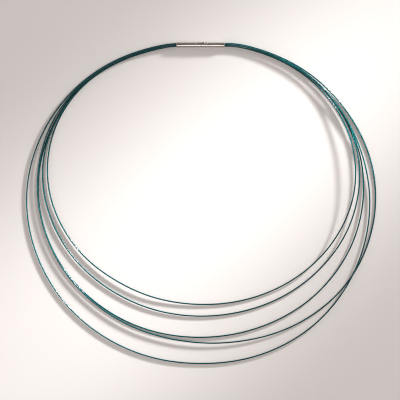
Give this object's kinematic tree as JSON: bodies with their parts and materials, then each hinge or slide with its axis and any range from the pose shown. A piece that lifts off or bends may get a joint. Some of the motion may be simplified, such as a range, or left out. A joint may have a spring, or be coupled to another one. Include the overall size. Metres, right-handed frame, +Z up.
{
  "type": "multi-strand necklace",
  "caption": "Springy coated-cable collar of graduated hoops, gathered at the back of the neck in a slim metal tube clasp.",
  "frame": {"origin": "on the table, under the middle of the whole necklace as it lies flat", "axes": "+X along the clasp, from the sleeve half to the plug half; +Y from the front of the necklace towards the clasp at the back of the neck; +Z up off the table"},
  "size_m": [0.1751, 0.161, 0.0039],
  "materials": {
    "strand_coat": "clear teal coat over fine stranded steel cable",
    "clasp_steel": "turned and lightly polished"
  },
  "bodies": {
    "root": {"strand_1": "strand_coat", "strand_2": "strand_coat", "strand_3": "strand_coat", "strand_4": "strand_coat", "strand_5": "strand_coat", "clasp_sleeve": "clasp_steel", "clasp_plug": "clasp_steel"}
  },
  "joints": []
}
